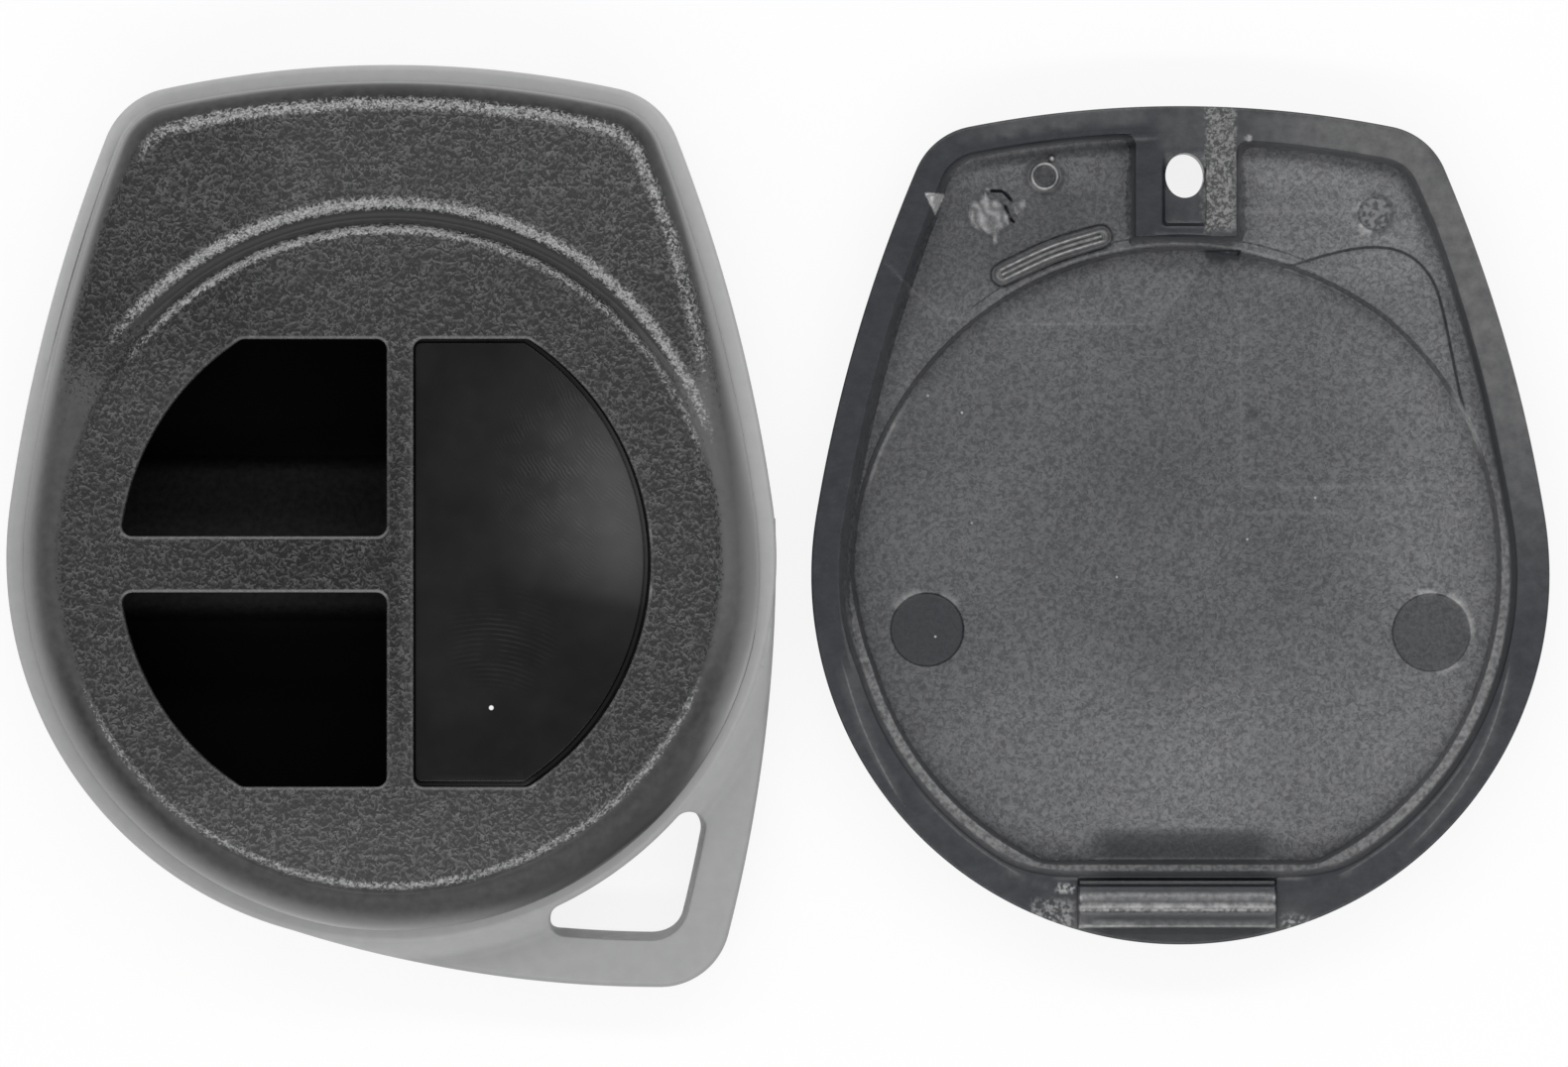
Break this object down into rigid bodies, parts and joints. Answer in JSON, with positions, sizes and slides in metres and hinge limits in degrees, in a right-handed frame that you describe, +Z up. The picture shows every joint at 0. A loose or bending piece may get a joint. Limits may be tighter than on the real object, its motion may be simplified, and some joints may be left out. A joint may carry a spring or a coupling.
{
  "type": "key fob shell",
  "caption": "Empty remote key fob shell opened into a windowed front half with a key-ring loop and a hollow rear cover with a screw block and hook tongue.",
  "frame": {"origin": "on the table under the middle of the space that the two opened halves take", "axes": "+X from the front half to the rear cover, +Y towards the head ends, +Z up out of the front half's face"},
  "size_m": [0.0814, 0.0486, 0.01],
  "materials": {
    "grey_plastic": "satin, light grey, through-coloured",
    "black_grained_plastic": "fine spark-eroded grain",
    "black_gloss_plastic": "polished, faint swirl marks",
    "black_inner_plastic": "matt, unpolished",
    "screw_steel": "zinc plated",
    "black_moulded_plastic": "satin, with flow marks"
  },
  "bodies": {
    "front_half": {"outer_frame": "grey_plastic", "front_cover": "black_grained_plastic", "badge_plate": "black_gloss_plastic"},
    "rear_half": {"rear_cover": "black_moulded_plastic"},
    "tray": {"transmitter_tray": "black_inner_plastic"},
    "screw": {"cover_screw": "screw_steel"}
  },
  "joints": [
    {"name": "rear_cover_lift", "type": "slide", "parent": "front_half", "child": "rear_half", "axis": [0, 0, 1], "range_m": [0, 0.03]},
    {"name": "tray_drop", "type": "slide", "parent": "front_half", "child": "tray", "axis": [0, 0, -1], "range_m": [0, 0.009]},
    {"name": "screw_turn", "type": "hinge", "parent": "front_half", "child": "screw", "pos_m": [-0.02015, 0.0194, 0.004], "axis": [0, 0, 1], "continuous": true}
  ]
}
